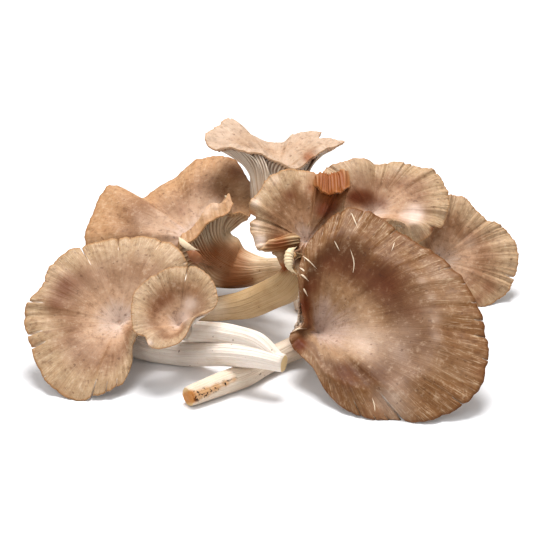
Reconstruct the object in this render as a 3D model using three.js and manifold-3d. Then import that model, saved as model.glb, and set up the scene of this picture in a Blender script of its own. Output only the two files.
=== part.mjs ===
// A heap of oyster mushrooms, in millimetres, +Z up, the viewer at -Y.
// Each mushroom is one closed skin: the top of the cap from its eye out to the margin, the gilled
// underside back in, and the stem down to its cut end.
import * as THREE from "three";
import Module from "manifold-3d";

const wasm = await Module();
wasm.setup();

// The outlines are given as they are seen by a viewer who looks down at the heap by LOOK_DOWN degrees
// from SIGHT mm away: [across, down, toward]. Across and down count half millimetres from the upper
// left corner of the view, toward counts millimetres to the viewer from the middle of the heap.
// A fourth number, where there is one, puts the point at that height over the floor instead.
const LOOK_DOWN = 24;
const SIGHT = 900;
const VIEW_UNIT = 0.5;
const VIEW_MIDDLE = 266.5;
const MIDDLE_HEIGHT = 42.7;
const SHIFT_X = -8.5;
const SHIFT_Y = -3.2;

const RIM_THICK = 1.2; // flesh at the margin
const FLESH_POWER = 1.4; // how soon the flesh thins on the way out
const DOME_POWER = 0.75; // below 1 a dome stands nearer the eye
const RIDGE_AT = 0.7; // where the swell round a hollow cap stands, as a share of the way out
const RIDGE_WIDE = 0.11;
const CURL_FROM = 0.8; // where the margin begins to bend down
const MOST_SWELL = 1.2;
const PLEAT_POWER = 2.2; // how soon the pleats rise on the way out
const PLEAT_HEIGHTS = [0.5, 0.35, 0.3];
const PLEAT_PHASES = [1, 2, 0];
const FOLD_REACH = 0.42; // how far in from its peak a fold begins
const FOLD_SLOPE = 0.6; // the share of a fold's width that slopes
const SPLIT_RUN = 1.6; // a split opens over this many of its depths
const NORMAL_STEP = 0.04;
const GILLS_END = 0.99; // where the gills end under the margin
const GILLS_RISE = 0.1;
const THROAT_LEAST = 0.12; // the throat's reach, as a share of the way out
const THROAT_MOST = 0.75;
const THROAT_PULL = 0.45; // how long the underside and the stem keep their ways in the throat
const THROAT_LEAD = 0.12;
const JOIN_AT = 0.12; // the share of the stem's run at which the throat has become the stem
const EVEN = 0.5; // 0 keeps the columns' own ways round the stem, 1 spaces them alike
const TWIST_STEPS = 60;
const STEM_RINGS = 7;
const CUT_TRIM = 0.96; // the cut end is this much slimmer
const CUT_SWELL = 0.4;
const FLOOR_SIZE = 600;
const FLOOR_DEPTH = 60;
const ROUGHNESS = 0.6;

const sin = Math.sin((LOOK_DOWN * Math.PI) / 180);
const cos = Math.cos((LOOK_DOWN * Math.PI) / 180);

function seen([across, down, toward, height]) {
  const a = (across - VIEW_MIDDLE) * VIEW_UNIT;
  const b = (VIEW_MIDDLE - down) * VIEW_UNIT;
  const t =
    height === undefined
      ? toward
      : (height - MIDDLE_HEIGHT - b * cos) / (sin - (b * cos) / SIGHT);
  const k = 1 - t / SIGHT;
  return new THREE.Vector3(
    SHIFT_X + a * k,
    SHIFT_Y + b * k * sin - t * cos,
    MIDDLE_HEIGHT + b * k * cos + t * sin,
  );
}

const smooth = (x) => {
  const s = Math.min(1, Math.max(0, x));
  return s * s * (3 - 2 * s);
};

// A margin is a closed curve through its points, a stem an open one.
function curve(points, closed) {
  return new THREE.CatmullRomCurve3(points, closed, "centripetal");
}

// Shares of the margin at which the columns stand: even, with a narrow triple at each split.
// A split is [margin point, half its width in shares, depth as a share of the cap].
function columns(count, splits, points) {
  const at = Array.from({ length: count }, (_, j) => j / count);
  const cut = new Array(count).fill(0);
  for (const [point, width, depth] of splits) {
    const share = point / points;
    const j = Math.round(share * count) % count;
    at[j] = share;
    at[(j + count - 1) % count] = (share - width + 1) % 1;
    at[(j + 1) % count] = (share + width) % 1;
    cut[j] = depth;
  }
  return [at, cut];
}

// One skin from rings of points; a ring may have half or twice the points of the ring before it.
class Skin {
  constructor() {
    this.points = [];
    this.faces = [];
  }
  ring(points) {
    const first = this.points.length;
    this.points.push(...points);
    return { first, count: points.length };
  }
  fan(centre, ring, outward) {
    const c = this.ring([centre]).first;
    for (let j = 0; j < ring.count; j++) {
      const a = ring.first + j;
      const b = ring.first + ((j + 1) % ring.count);
      this.faces.push(outward ? [c, b, a] : [c, a, b]);
    }
  }
  band(p, q) {
    if (p.count === q.count)
      for (let j = 0; j < p.count; j++) {
        const k = (j + 1) % p.count;
        const [a, b, c, d] = [p.first + j, p.first + k, q.first + k, q.first + j];
        this.faces.push([a, c, d], [a, b, c]);
      }
    else
      for (let j = 0; j < q.count; j++) {
        const a = p.first + 2 * j;
        const b = a + 1;
        const c = p.first + ((2 * j + 2) % p.count);
        const d = q.first + j;
        const e = q.first + ((j + 1) % q.count);
        this.faces.push([a, b, d], [b, e, d], [b, c, e]);
      }
  }
  solid() {
    return new wasm.Manifold(
      new wasm.Mesh({
        numProp: 3,
        vertProperties: new Float32Array(this.points.flatMap((v) => [v.x, v.y, v.z])),
        triVerts: new Uint32Array(this.faces.flat()),
      }),
    );
  }
}

const TOP_RINGS = [0.12, 0.26, 0.42, 0.58, 0.72, 0.84, 0.93, 1];
const UNDER_RINGS = [1, 0.92, 0.78, 0.6, 0.4, 0.18, 0];
const THROAT_RINGS = [0.3, 0.65];

function mushroom(m) {
  const rimCurve = curve(m.rim.map(seen), true);
  const eye = seen(m.eye);
  const count = m.columns;
  const [at, cut] = columns(count, m.splits ?? [], m.rim.length);
  const rim = at.map((s) => rimCurve.getPoint(s));

  // The way the cap faces: the normal of its margin.
  const face = new THREE.Vector3();
  for (let j = 0; j < count; j++)
    face.add(rim[j].clone().sub(eye).cross(rim[(j + 1) % count].clone().sub(eye)));
  face.negate().normalize();

  const stem = curve(m.stem.map((s) => seen(s.at)), false);
  const into = stem.getTangent(0);

  // Where the margin runs close to the eye the swell of the cap is that much less.
  const mean = rim.reduce((sum, p) => sum + p.distanceTo(eye), 0) / count;
  const share = rim.map((p) => Math.min(MOST_SWELL, p.distanceTo(eye) / mean));

  const pleat = (s, r) => {
    const w = 2 * Math.PI * s;
    const wave = (n, i) => PLEAT_HEIGHTS[i] * Math.sin(n * w + PLEAT_PHASES[i]);
    return m.ruffle * Math.pow(r, PLEAT_POWER) * m.pleats.map(wave).reduce((a, b) => a + b);
  };
  // A fold moves the cap near some margin points, most at its peak and nothing at the margin itself:
  // [margin point, points to either side, peak, across, up, toward].
  const folds = (m.folds ?? []).map(([point, wide, peak, ...by]) => ({
    point,
    wide,
    peak,
    by: new THREE.Vector3(by[0], by[1] * sin - by[2] * cos, by[1] * cos + by[2] * sin),
  }));
  const folded = (s, r) => {
    const sum = new THREE.Vector3();
    const points = m.rim.length;
    for (const f of folds) {
      const off = s * points - f.point;
      const d = Math.abs(off - points * Math.round(off / points));
      const rise = r < f.peak ? smooth(1 - (f.peak - r) / FOLD_REACH) : smooth((1 - r) / (1 - f.peak));
      sum.addScaledVector(f.by, rise * smooth((f.wide - d) / (FOLD_SLOPE * f.wide)));
    }
    return sum;
  };
  const top = (j, r) => {
    const run = SPLIT_RUN * cut[j];
    const reach = r * (1 - cut[j] * smooth((r - 1 + run) / (run || 1)));
    const p = eye.clone().lerp(rim[j], reach);
    const dome = m.dome * Math.sin(Math.PI * Math.pow(r, DOME_POWER));
    const ridge = (m.ridge ?? 0) * Math.exp(-Math.pow((r - RIDGE_AT) / RIDGE_WIDE, 2));
    const curl = m.curl * Math.pow(Math.max(0, (r - CURL_FROM) / (1 - CURL_FROM)), 2);
    p.addScaledVector(face, share[j] * (dome + ridge - curl) + pleat(at[j], r));
    return p.add(folded(at[j], r));
  };
  const normal = (j, r) => {
    const r0 = Math.max(0, r - NORMAL_STEP);
    const r1 = Math.min(1, r + NORMAL_STEP);
    const out = top(j, r1).sub(top(j, r0));
    const along = top((j + 1) % count, r).sub(top((j + count - 1) % count, r));
    return along.cross(out).normalize();
  };

  // Where the underside meets the stem, as a share of the way out to the margin.
  const inner = rim.map((p) =>
    Math.min(THROAT_MOST, Math.max(THROAT_LEAST, m.throat / p.distanceTo(eye))),
  );
  const under = (j, u) => {
    const r = inner[j] + (1 - inner[j]) * u;
    const flesh = RIM_THICK + (m.flesh - RIM_THICK) * Math.pow(1 - u, FLESH_POWER);
    const gill = m.gill * smooth((GILLS_END - u) / GILLS_RISE) * (j % 2 ? 1 : 0);
    return top(j, r).addScaledVector(normal(j, r), -flesh - gill);
  };

  const skin = new Skin();
  let last;
  const next = (points) => {
    const ring = skin.ring(points);
    if (last) skin.band(last, ring);
    last = ring;
    return ring;
  };
  const all = [...Array(count).keys()];
  const first = next(all.map((j) => top(j, TOP_RINGS[0])));
  skin.fan(top(0, 0), first, true);
  for (const r of TOP_RINGS.slice(1)) next(all.map((j) => top(j, r)));
  for (const u of UNDER_RINGS) next(all.map((j) => under(j, u)));

  // The stem's rings, each turned from the one before it without a twist.
  const stations = m.stem.map((s, i) => ({ t: i / (m.stem.length - 1), r: s.r }));
  const radius = (t) => {
    const x = t * (stations.length - 1);
    const i = Math.min(stations.length - 2, Math.floor(x));
    const f = x - i;
    return stations[i].r * (1 - f) + stations[i + 1].r * f;
  };
  let side = new THREE.Vector3(0, 0, 1).cross(into);
  if (side.length() < 0.2) side = new THREE.Vector3(1, 0, 0).cross(into);
  side.normalize();
  const other = into.clone().cross(side).normalize();
  // Each column keeps its own way round the stem, evened out so that none bunch.
  const ways = rim.map((p) => {
    const d = p.clone().sub(eye);
    return Math.atan2(d.dot(other), d.dot(side));
  });
  const turn = [];
  let total = 0;
  for (let j = 0; j < count; j++) {
    let step = ways[(j + 1) % count] - ways[j];
    step -= 2 * Math.PI * Math.round(step / (2 * Math.PI));
    turn.push(total);
    total += step;
  }
  let sx = 0;
  let sy = 0;
  for (let j = 0; j < count; j++) {
    const off = ways[j] - 2 * Math.PI * at[j];
    sx += Math.cos(off);
    sy += Math.sin(off);
  }
  const start = Math.atan2(sy, sx);
  const even = Math.abs(total - 2 * Math.PI) > 1 ? 1 : (m.even ?? EVEN);
  const way = all.map((j) => {
    const e = start + 2 * Math.PI * at[j];
    let a = ways[0] + turn[j];
    a += 2 * Math.PI * Math.round((e - a) / (2 * Math.PI));
    return e * even + a * (1 - even);
  });

  const ringAt = (t, list, grow = 1) => {
    const centre = stem.getPoint(t);
    const r = radius(t) * grow;
    const g = frameAt(t);
    return list.map((j) =>
      centre
        .clone()
        .addScaledVector(g[0], Math.cos(way[j]) * r)
        .addScaledVector(g[1], Math.sin(way[j]) * r),
    );
  };
  const frames = new Map();
  function frameAt(t) {
    if (!frames.has(t)) {
      let d = into.clone();
      let a = side.clone();
      const steps = Math.max(1, Math.round(t * TWIST_STEPS));
      for (let i = 1; i <= steps; i++) {
        const e = stem.getTangent((t * i) / steps);
        const q = new THREE.Quaternion().setFromUnitVectors(d, e);
        a.applyQuaternion(q);
        d = e;
      }
      frames.set(t, [a, d.clone().cross(a).normalize()]);
    }
    return frames.get(t);
  }

  // The throat: from the underside's way in to the stem's way down.
  const joinAt = m.joinAt ?? JOIN_AT;
  const joined = ringAt(joinAt, all);
  const down = stem.getTangent(joinAt);
  for (const f of THROAT_RINGS)
    next(
      all.map((j) => {
        const a = under(j, 0);
        const b = joined[j];
        const reach = a.distanceTo(b) * THROAT_PULL;
        const way = a.clone().sub(under(j, THROAT_LEAD)).normalize();
        const a1 = a.clone().addScaledVector(way, reach);
        const b1 = b.clone().addScaledVector(down, -reach);
        return new THREE.CubicBezierCurve3(a, a1, b1, b).getPoint(f);
      }),
    );
  next(joined);
  const half = all.filter((j) => j % 2 === 0);
  for (let i = 1; i <= STEM_RINGS; i++)
    next(ringAt(joinAt + ((1 - joinAt) * i) / STEM_RINGS, half, i === STEM_RINGS ? CUT_TRIM : 1));
  // The cut end.
  const end = stem.getPoint(1).addScaledVector(stem.getTangent(1), CUT_SWELL);
  skin.fan(end, last, false);
  return skin.solid();
}

const bigLeft = {
  rim: [
    [78, 401, 0, 0.2], [56, 389, 38], [44, 378, 35], [30, 347, 27], [24, 322, 21], [26, 302, 17],
    [42, 284, 12], [46, 270, 9], [56, 258, 5], [76, 246, 1], [96, 240, -1], [116, 237, -3],
    [137, 235, -3], [160, 237, -1], [178, 247, 2], [188, 264, 5], [186, 284, 9], [174, 304, 12],
    [154, 320, 16], [141, 331, 20], [133, 345, 26], [132, 361, 32], [125, 379, 37],
    [110, 390, 40], [94, 394, 42],
  ],
  eye: [120, 325, 9],
  dome: 4,
  curl: 1.5,
  ruffle: 1.3,
  pleats: [9, 14, 21],
  flesh: 4,
  gill: 0.9,
  throat: 12,
  columns: 56,
  splits: [[9.2, 0.005, 0.2], [5.1, 0.005, 0.12], [3.5, 0.005, 0.12], [24.2, 0.005, 0.12]],
  stem: [
    { at: [121, 327, 4], r: 8 },
    { at: [130, 338, -1], r: 7.5 },
    { at: [152, 348, 0, 7.2], r: 6.8 },
    { at: [181, 353, 7], r: 6.2 },
    { at: [206, 354, 16], r: 6 },
    { at: [232, 354, 30], r: 5.7 },
    { at: [258, 357, 38], r: 5.3 },
    { at: [284, 363.5, 43], r: 4.4 },
  ],
};

const smallFront = {
  rim: [
    [131, 318, 32], [131, 303, 28], [134, 291, 25], [143, 281, 23], [156, 273, 22],
    [172, 266, 22], [184, 265, 23], [197, 266, 24], [209, 275, 27], [216, 288, 30],
    [217, 302, 33], [208, 311, 34], [195, 316, 34], [190, 325, 34], [185, 335, 37],
    [176, 343, 40], [160, 348, 43], [149, 345, 43], [144, 335, 40], [134, 331, 36],
  ],
  eye: [179, 326, 23],
  dome: 2,
  curl: 1,
  ruffle: 0.7,
  pleats: [5, 9, 13],
  flesh: 3,
  gill: 0.6,
  throat: 5,
  columns: 38,
  splits: [[6.3, 0.008, 0.22]],
  stem: [
    { at: [180, 327, 20], r: 5 },
    { at: [187, 331, 15], r: 4.8 },
    { at: [206, 332, 17], r: 5 },
    { at: [232, 335, 28], r: 5 },
    { at: [258, 342.5, 36.5], r: 4.8 },
    { at: [279, 360, 42], r: 3.2 },
  ],
};

const bigRight = {
  rim: [
    [393, 421, 0, 0.2], [368, 417, 59], [346, 409, 54], [326, 391, 47], [312, 367, 39],
    [300, 355, 34], [291, 344, 31], [290, 333, 29], [304, 325, 27], [302, 312, 27],
    [299, 295, 26], [298, 275, 24], [303, 250, 21], [315, 231, 19], [333, 213, 17],
    [353, 206, 17], [383, 217, 19], [410, 237, 23], [438, 253, 27], [460, 274, 32],
    [478, 303, 39], [487, 335, 46], [488, 362, 52], [474, 395, 58], [452, 410, 61],
    [422, 420, 63],
  ],
  eye: [318, 333, 15],
  dome: 8,
  ridge: 2.5,
  curl: 2,
  ruffle: 1,
  pleats: [7, 12, 17],
  flesh: 4.5,
  gill: 1,
  throat: 11,
  columns: 60,
  splits: [[25.6, 0.004, 0.18], [12, 0.004, 0.1]],
  stem: [
    { at: [317, 334, 11], r: 7.5 },
    { at: [306, 343, 5], r: 6.4 },
    { at: [284, 353, 0, 6.4], r: 5.9 },
    { at: [264, 364, 0, 5.5], r: 5.8 },
    { at: [244, 375.5, 0, 5.2], r: 5.5 },
    { at: [216, 386, 0, 5.2], r: 5.5 },
    { at: [188, 397, 0, 4.7], r: 4.8 },
  ],
};

const centre = {
  rim: [
    [284, 271, 9.5], [280, 264, 9.5], [277, 257, 10], [272, 252, 10.5], [273, 244, 9.5],
    [266, 244, 11], [258, 249, 12.5], [254, 240, 11], [250, 229, 10], [250, 222, 8.5],
    [256, 217, 6.5], [250.5, 212, 8], [249, 203, 7], [254, 196, 6], [261, 188, 4], [265, 180, 2],
    [272, 174, 0], [283, 170, -2.5], [295, 168, -5], [306, 170, -6], [315, 172, -5], [317, 181, 1],
    [318, 189, 7], [326, 193, 9], [334, 194, 9.5], [342, 192, 9], [350, 187, 5], [346, 199, 4],
    [343, 215, 6], [336, 235, 9], [322, 252, 12], [308, 264, 12], [300, 277, 13], [296, 269, 15],
    [294, 261, 16], [295, 256, 15], [290, 263, 11.5],
  ],
  eye: [306, 242, -1],
  dome: 3,
  curl: 1,
  ruffle: 1.4,
  pleats: [9, 15, 22],
  folds: [[24, 3.4, 0.84, 1.5, 12.5, -8.5], [34, 2.4, 0.84, -4.2, 0, -3]],
  flesh: 3.5,
  gill: 0.8,
  throat: 9,
  columns: 56,
  stem: [
    { at: [306, 245, -6], r: 9 },
    { at: [303, 262, -9], r: 8.5 },
    { at: [290, 284, -11], r: 8 },
    { at: [270, 295, -18], r: 7.9 },
    { at: [248, 304, -26], r: 7.8 },
    { at: [226, 307.5, -33], r: 6.4 },
    { at: [200, 311, 0, 4.8], r: 5.6 },
  ],
};

const trumpet = {
  rim: [
    [205, 135, -45], [209, 129, -50], [217, 125, -54], [225, 117, -58], [233, 118, -61],
    [243, 127, -62], [256, 135, -64], [272, 141, -65], [284, 141, -65], [294, 132, -66],
    [309, 129, -66], [321, 131, -62], [319, 136, -57], [332, 137, -53], [345, 139, -48],
    [334, 146, -44], [320, 151, -39], [311, 157, -36], [301, 166, -34], [290, 167, -33],
    [275, 159, -32], [262, 153, -33], [244, 150, -34], [228, 146, -35], [216, 147, -38],
    [207, 142, -42],
  ],
  eye: [278, 172, -48],
  dome: 2,
  curl: 0.8,
  ruffle: 0.8,
  pleats: [7, 12, 19],
  folds: [[22.5, 3.2, 0.88, 0, 2.4, -1.5], [17, 3, 0.88, 0, 1.6, -1]],
  flesh: 3.5,
  gill: 1,
  throat: 21,
  columns: 56,
  joinAt: 0.16,
  stem: [
    { at: [278, 176, -48], r: 19 },
    { at: [281, 198, -47], r: 14 },
    { at: [287, 225, -47], r: 9 },
    { at: [297, 258, -48], r: 7 },
    { at: [306, 290, -50], r: 7.4 },
    { at: [309, 307, 0, 0.6], r: 7.6 },
  ],
};

const backLeft = {
  rim: [
    [84, 240, -45], [88, 222, -50], [97, 199, -57], [107, 185, -62], [117, 184, -63],
    [131, 191, -62], [142, 196, -60], [155, 188, -63], [175, 176, -67], [190, 162, -70],
    [207, 156, -71], [221, 155, -70], [234, 158, -68], [244, 172, -62], [252, 188, -56],
    [252, 204, -48], [249, 215, -41], [240, 211, -34], [232, 213, -28], [233, 202, -22],
    [226, 213, -16], [216, 217, -12], [207, 222, -11], [200, 230, -10], [193, 239, -9],
    [186, 243, -9], [179, 240, -11], [177, 256, -15], [172, 280, -22], [155, 302, -34],
    [130, 308, 0, 0.2], [105, 288, -46], [89, 262, -46],
  ],
  eye: [197, 240, -39],
  dome: 4,
  curl: 1,
  ruffle: 0.8,
  pleats: [4, 9, 15],
  folds: [[20, 2.6, 0.86, 0.5, 7, -3], [23.5, 3.2, 0.86, -1, 5, -3]],
  flesh: 4,
  gill: 1,
  throat: 19,
  columns: 56,
  even: 0.8,
  joinAt: 0.22,
  stem: [
    { at: [202, 246, -39], r: 17 },
    { at: [219, 259, -38], r: 14.8 },
    { at: [236, 267.5, -38], r: 11.2 },
    { at: [253, 269.5, -35.5], r: 7.8 },
    { at: [268, 268, -31.5], r: 5.3 },
    { at: [282, 266, -28], r: 4.4 },
    { at: [295, 267, -28], r: 4.2 },
  ],
};

const backRight = {
  rim: [
    [321, 178, -38], [327, 166, -40], [335, 162, -42], [348, 158.5, -47], [362, 157.5, -51],
    [374, 160, -54], [383, 163, -55], [393, 160.5, -57], [404, 161, -58], [416, 163, -59],
    [428, 167, -58.5], [438, 170.5, -57], [444, 179, -54], [449, 190, -51], [450.5, 202, -47],
    [448, 213, -43.5], [443, 225, -40], [435, 227, -38], [431, 234, -34], [423, 239, -31.5],
    [413, 239, -29.5], [404, 235, -29], [393, 230, -28], [376, 232, -28], [355, 230, -29],
    [338, 219, -32], [325, 200, -35],
  ],
  eye: [371, 215, -47],
  dome: 3.5,
  curl: 1.5,
  ruffle: 1.5,
  pleats: [8, 13, 19],
  folds: [[20, 3.4, 0.72, 1, 3, 5]],
  flesh: 3.5,
  gill: 0.8,
  throat: 11,
  columns: 48,
  splits: [[17, 0.006, 0.12]],
  stem: [
    { at: [371, 218, -52], r: 8 },
    { at: [371, 242, -56], r: 7 },
    { at: [372, 274, -51], r: 6.6 },
    { at: [372, 303, 0, 7.4], r: 6.5 },
    { at: [373, 324, 0, 6.2], r: 6.5 },
  ],
};

const farRight = {
  rim: [
    [414, 262, -60], [416, 240, -64], [424, 222, -67], [436, 205, -69.5], [447, 195, -70.5],
    [457, 194, -71], [466, 197, -71], [472, 204, -70.5], [479, 211, -70], [488, 219, -70],
    [497, 222, -69.5], [506, 228, -69], [513, 236, -68], [518, 247, -66], [519, 260, -64],
    [516, 275, -62], [512.5, 284, -61], [508, 292, -59.5], [500, 298, -58.5], [488, 305, 0, 1.2],
    [470, 308, -56], [446, 302, -55], [428, 288, -57],
  ],
  eye: [437, 262, -74],
  dome: 4,
  curl: 1.5,
  ruffle: 1.3,
  pleats: [7, 11, 17],
  flesh: 3,
  gill: 0.8,
  throat: 10,
  columns: 40,
  splits: [[15.2, 0.008, 0.09]],
  stem: [
    { at: [436, 263, -78], r: 7.5 },
    { at: [427, 268, -81], r: 6.6 },
    { at: [416, 275, 0, 7.5], r: 6 },
    { at: [404, 279, 0, 6.6], r: 5.6 },
    { at: [392, 283, 0, 6], r: 5.8 },
  ],
};

const group = new THREE.Group();

// What would sink into the floor is cut off, so that every mushroom rests on small flat spots.
const floor = (() => {
  const g = new THREE.BoxGeometry(FLOOR_SIZE, FLOOR_SIZE, FLOOR_DEPTH).toNonIndexed();
  g.translate(0, 0, -FLOOR_DEPTH / 2);
  const p = g.attributes.position.array;
  const mesh = new wasm.Mesh({
    numProp: 3,
    vertProperties: new Float32Array(p),
    triVerts: Uint32Array.from({ length: p.length / 3 }, (_, i) => i),
  });
  mesh.merge();
  return new wasm.Manifold(mesh);
})();

function add(name, solid, colour) {
  const rested = solid.subtract(floor);
  const m = rested.getMesh();
  const g = new THREE.BufferGeometry();
  g.setAttribute("position", new THREE.BufferAttribute(m.vertProperties, 3));
  g.setIndex(new THREE.BufferAttribute(m.triVerts, 1));
  const flesh = new THREE.MeshStandardMaterial({ color: colour, roughness: ROUGHNESS, metalness: 0 });
  const mesh = new THREE.Mesh(g, flesh);
  mesh.name = name;
  group.add(mesh);
}

add("twin_left", mushroom(bigLeft).add(mushroom(smallFront)), 0xc9a98a);
add("front_right", mushroom(bigRight), 0xa07a5c);
add("centre_ruffled", mushroom(centre), 0xbd9c7c);
add("top_trumpet", mushroom(trumpet), 0xd8bfa4);
add("back_left", mushroom(backLeft), 0xc6a387);
add("right_back", mushroom(backRight), 0xc0a183);
add("far_right", mushroom(farRight), 0xb9987a);

export default group;
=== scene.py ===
"""A heap of oyster mushrooms on a white table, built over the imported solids."""
import math

import bpy
import numpy as np
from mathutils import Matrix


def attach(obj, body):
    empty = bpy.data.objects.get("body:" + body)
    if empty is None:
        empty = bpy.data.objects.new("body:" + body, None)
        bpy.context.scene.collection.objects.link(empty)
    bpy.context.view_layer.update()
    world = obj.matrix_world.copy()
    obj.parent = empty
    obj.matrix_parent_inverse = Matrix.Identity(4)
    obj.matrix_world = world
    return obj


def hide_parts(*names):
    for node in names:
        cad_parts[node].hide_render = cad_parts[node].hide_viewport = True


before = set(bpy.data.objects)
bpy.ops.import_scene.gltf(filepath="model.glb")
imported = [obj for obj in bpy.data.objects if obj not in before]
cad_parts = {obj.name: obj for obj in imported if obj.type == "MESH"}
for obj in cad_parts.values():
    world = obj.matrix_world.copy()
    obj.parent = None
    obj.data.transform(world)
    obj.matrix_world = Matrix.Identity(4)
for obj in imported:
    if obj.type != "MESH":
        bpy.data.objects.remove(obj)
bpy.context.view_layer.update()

MM = 0.001

# The outlines repeat those of the solids: (across, down, toward) as a viewer sees them who looks
# down by LOOK_DOWN from SIGHT mm away. Across and down count half millimetres from the upper left
# corner of the view, toward counts millimetres. A fourth number is a height over the table, in mm,
# and stands in for toward.
LOOK_DOWN = math.radians(24)
SIGHT = 900.0
VIEW_UNIT = 0.5
VIEW_MIDDLE = 266.5
MIDDLE = np.array([-8.5, -3.2, 42.7])
ACROSS = np.array([1.0, 0.0, 0.0])
UPWARD = np.array([0.0, math.sin(LOOK_DOWN), math.cos(LOOK_DOWN)])
TOWARD = np.array([0.0, -math.cos(LOOK_DOWN), math.sin(LOOK_DOWN)])

# A skin is made of rings round the cap and the stem, with one point of each in every column.
# Rings stand at shares of the way: eye to margin, back under it, down the throat, over the cut.
COLUMNS = 440
TOP_RINGS = np.concatenate([np.linspace(0.03, 0.7, 22), np.linspace(0.725, 1.0, 16)])
UNDER_RINGS = np.concatenate([np.linspace(1.0, 0.9, 5), np.linspace(0.86, 0.0, 21)])
THROAT_RINGS = np.linspace(0.1, 0.9, 8)
STEM_RINGS = 34
CUT_RINGS = [0.9, 0.72, 0.5, 0.28]

# Cap: thickness in millimetres, the rest as powers or shares of the way from eye to margin.
RIM_THICK = 0.9
FLESH_POWER = 1.4
DOME_POWER = 0.75
RIDGE_AT = 0.7
RIDGE_WIDE = 0.11
CURL_FROM = 0.8
MOST_SWELL = 1.2
NORMAL_STEP = 0.03
SIDE_STEP = 5
SWELL_HEIGHT = 0.22

# Pleats: waves round the cap and their heights, large ones and the small ones near the margin.
PLEAT_HEIGHTS = [0.5, 0.35, 0.3]
PLEAT_POWER = 2.2
SMALL_PLEATS = [(31, 0.2), (43, 0.16), (59, 0.12), (83, 0.08), (121, 0.05)]
SMALL_POWER = 4

# Margin: fraying waves with their heights as shares of the reach, small tears, larger splits.
FRAY = [(23, 0.0025), (37, 0.003), (61, 0.0022), (97, 0.0016)]
TEAR_WIDTHS = (0.0005, 0.0009)
TEAR_DEPTHS = (0.015, 0.05)
TEARS_APART = 0.02
SPLIT_RUN = 1.6
SPLIT_DIP = 0.1
SPLIT_REACH = 0.008
CRACK_RUN = 1.5
CRACK_SOFT = 0.6

# Folds: how far in they start below their peak, how soft their sides are, how high they ripple.
FOLD_REACH = 0.42
FOLD_SLOPE = 0.6
RIPPLE = 0.55

# Gills: a ridge to every four columns, from the throat almost to the margin.
GILL_EDGE = [0.0, 0.35, 1.0, 0.35]
GILL_STAND = 1.25
GILLS_END = 0.99
GILLS_RISE = 0.08
GROOVES_DOWN = 0.2

# Throat and stem. The cords on a stem are (waves round it, waves along it, height in mm).
THROAT_LEAST = 0.12
THROAT_MOST = 0.75
THROAT_PULL = 0.45
THROAT_LEAD = 0.12
TWIST_STEPS = 9
STEM_GILLS = 0.7
STEM_GILLS_RUN = 0.17
CORDS = [(5, 3, 0.14), (11, -7, 0.1), (23, 5, 0.06), (37, 0, 0.05)]
FULL_CORDS = 6
LYING = 0.2
CUT_TRIM = 0.97
CUT_SWELL = 0.15
CUT_CROWN = 0.35
CUT_TIP = 0.4


def seen(point):
    """Where a point of the view lies in the heap, in millimetres."""
    a = (point[0] - VIEW_MIDDLE) * VIEW_UNIT
    b = (VIEW_MIDDLE - point[1]) * VIEW_UNIT
    t = point[2]
    if len(point) == 4:
        rise = b * math.cos(LOOK_DOWN)
        t = (point[3] - MIDDLE[2] - rise) / (math.sin(LOOK_DOWN) - rise / SIGHT)
    near = 1 - t / SIGHT
    return MIDDLE + ACROSS * a * near + UPWARD * b * near + TOWARD * t


def view_of(points):
    """Across and down in the view, for points in millimetres."""
    off = points - MIDDLE
    near = 1 - off @ TOWARD / SIGHT
    across = VIEW_MIDDLE + off @ ACROSS / near / VIEW_UNIT
    down = VIEW_MIDDLE - off @ UPWARD / near / VIEW_UNIT
    return across, down


def smooth(x):
    """0 below 0, 1 above 1, and a soft rise between."""
    s = np.clip(x, 0.0, 1.0)
    return s * s * (3 - 2 * s)


def unit(v):
    """Directions of length 1."""
    return v / np.maximum(np.linalg.norm(v, axis=-1, keepdims=True), 1e-9)


class Curve:
    """A centripetal spline through points, at shares of its run from 0 to 1."""

    def __init__(self, points, closed):
        self.points = np.array([seen(p) for p in points])
        self.closed = closed

    def at(self, share):
        """The point at each share of the run."""
        share = np.asarray(share, float)
        p = self.points
        count = len(p)
        spans = count if self.closed else count - 1
        x = share * spans
        i = np.floor(x).astype(int)
        if not self.closed:
            i = np.clip(i, 0, spans - 1)
        w = (x - i)[..., None]
        if self.closed:
            p0, p1, p2, p3 = (p[(i + k) % count] for k in (-1, 0, 1, 2))
        else:
            whole = np.vstack([2 * p[0] - p[1], p, 2 * p[-1] - p[-2]])
            p0, p1, p2, p3 = (whole[i + k] for k in (0, 1, 2, 3))
        d0, d1, d2 = (
            np.sqrt(np.linalg.norm(b - a, axis=-1, keepdims=True))
            for a, b in ((p0, p1), (p1, p2), (p2, p3))
        )
        t1 = ((p1 - p0) / d0 - (p2 - p0) / (d0 + d1) + (p2 - p1) / d1) * d1
        t2 = ((p2 - p1) / d1 - (p3 - p1) / (d1 + d2) + (p3 - p2) / d2) * d1
        c2 = -3 * p1 + 3 * p2 - 2 * t1 - t2
        c3 = 2 * p1 - 2 * p2 + t1 + t2
        return p1 + t1 * w + c2 * w**2 + c3 * w**3

    def along(self, share):
        """The direction at each share of the run."""
        step = 1e-4
        lo = np.clip(np.asarray(share, float) - step, 0, 1)
        hi = np.clip(np.asarray(share, float) + step, 0, 1)
        return unit(self.at(hi) - self.at(lo))


def turned(v, old, new):
    """v turned as little as takes direction old to direction new."""
    half = unit(old + new)
    v = v - 2 * np.dot(v, old) * old
    return v - 2 * np.dot(v, half) * half


def brushed(strokes, across, down):
    """How much of each stroke (across, down, size, strength) the points of the view get."""
    total = np.zeros(len(across))
    for x, y, size, strength in strokes:
        total += strength * np.exp(-(((across - x) ** 2 + (down - y) ** 2) / size**2))
    return total


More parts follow.
